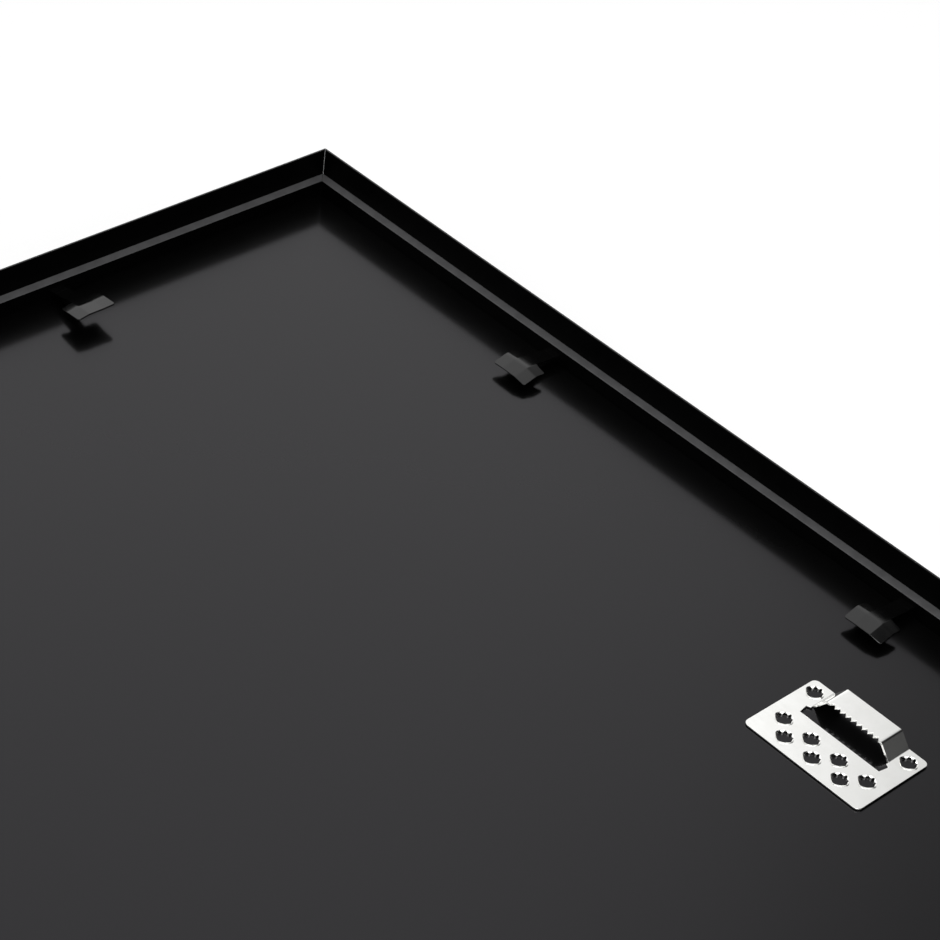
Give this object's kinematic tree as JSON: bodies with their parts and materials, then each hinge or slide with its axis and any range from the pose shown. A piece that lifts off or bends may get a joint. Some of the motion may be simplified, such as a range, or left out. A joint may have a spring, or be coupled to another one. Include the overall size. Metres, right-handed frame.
{
  "type": "shadow box frame",
  "caption": "Deep black picture frame with mitred rails, a recessed backing board held by bendable tabs, a glass front, a display space and a sawtooth hanger.",
  "frame": {"origin": "middle of the plane that the rails' front faces lie in, under the middle of the box", "axes": "+X along the long rails, +Y towards the top of the picture, +Z out of the frame's back"},
  "size_m": [0.6186, 0.4656, 0.0452],
  "materials": {
    "black_rail": "satin black coating",
    "corner_key": "zinc plated",
    "clear_glass": "clear float glass",
    "white_spacer": "white coated fibreboard",
    "white_card": "matt white card",
    "dark_board": "smooth black coated hardboard",
    "bright_steel": "bright nickel plated",
    "black_tab": "black coated spring sheet"
  },
  "bodies": {
    "root": {"top_rail": "black_rail", "bottom_rail": "black_rail", "left_rail": "black_rail", "right_rail": "black_rail", "corner_key_top_left": "corner_key", "corner_key_bottom_left": "corner_key", "corner_key_bottom_right": "corner_key", "corner_key_top_right": "corner_key", "front_glass": "clear_glass", "top_spacer": "white_spacer", "bottom_spacer": "white_spacer", "left_spacer": "white_spacer", "right_spacer": "white_spacer", "display_card": "white_card", "backing_board": "dark_board", "sawtooth_hanger": "bright_steel", "top_tab_foot_1": "black_tab", "top_tab_foot_2": "black_tab", "top_tab_foot_3": "black_tab", "bottom_tab_foot_1": "black_tab", "bottom_tab_foot_2": "black_tab", "bottom_tab_foot_3": "black_tab", "left_tab_foot_1": "black_tab", "left_tab_foot_2": "black_tab", "right_tab_foot_1": "black_tab", "right_tab_foot_2": "black_tab"},
    "top_blade_1": {"top_tab_1": "black_tab"},
    "top_blade_2": {"top_tab_2": "black_tab"},
    "top_blade_3": {"top_tab_3": "black_tab"},
    "bottom_blade_1": {"bottom_tab_1": "black_tab"},
    "bottom_blade_2": {"bottom_tab_2": "black_tab"},
    "bottom_blade_3": {"bottom_tab_3": "black_tab"},
    "left_blade_1": {"left_tab_1": "black_tab"},
    "left_blade_2": {"left_tab_2": "black_tab"},
    "right_blade_1": {"right_tab_1": "black_tab"},
    "right_blade_2": {"right_tab_2": "black_tab"}
  },
  "joints": [
    {"name": "top_bend_1", "type": "hinge", "parent": "root", "child": "top_blade_1", "pos_m": [0.1834, 0.2279, 0.0326], "axis": [-1, 0, 0], "range_deg": [-5, 88]},
    {"name": "top_bend_2", "type": "hinge", "parent": "root", "child": "top_blade_2", "pos_m": [-0.0268, 0.2279, 0.0326], "axis": [-1, 0, 0], "range_deg": [-5, 88]},
    {"name": "top_bend_3", "type": "hinge", "parent": "root", "child": "top_blade_3", "pos_m": [-0.1834, 0.2279, 0.0326], "axis": [-1, 0, 0], "range_deg": [-5, 88]},
    {"name": "bottom_bend_1", "type": "hinge", "parent": "root", "child": "bottom_blade_1", "pos_m": [-0.1834, -0.2279, 0.0326], "axis": [1, 0, 0], "range_deg": [-5, 88]},
    {"name": "bottom_bend_2", "type": "hinge", "parent": "root", "child": "bottom_blade_2", "pos_m": [0.0268, -0.2279, 0.0326], "axis": [1, 0, 0], "range_deg": [-5, 88]},
    {"name": "bottom_bend_3", "type": "hinge", "parent": "root", "child": "bottom_blade_3", "pos_m": [0.1834, -0.2279, 0.0326], "axis": [1, 0, 0], "range_deg": [-5, 88]},
    {"name": "left_bend_1", "type": "hinge", "parent": "root", "child": "left_blade_1", "pos_m": [-0.3044, 0.1126, 0.0326], "axis": [0, -1, 0], "range_deg": [-15, 80]},
    {"name": "left_bend_2", "type": "hinge", "parent": "root", "child": "left_blade_2", "pos_m": [-0.3044, -0.1126, 0.0326], "axis": [0, -1, 0], "range_deg": [-5, 88]},
    {"name": "right_bend_1", "type": "hinge", "parent": "root", "child": "right_blade_1", "pos_m": [0.3044, -0.1126, 0.0326], "axis": [0, 1, 0], "range_deg": [-5, 88]},
    {"name": "right_bend_2", "type": "hinge", "parent": "root", "child": "right_blade_2", "pos_m": [0.3044, 0.1126, 0.0326], "axis": [0, 1, 0], "range_deg": [-5, 88]}
  ]
}
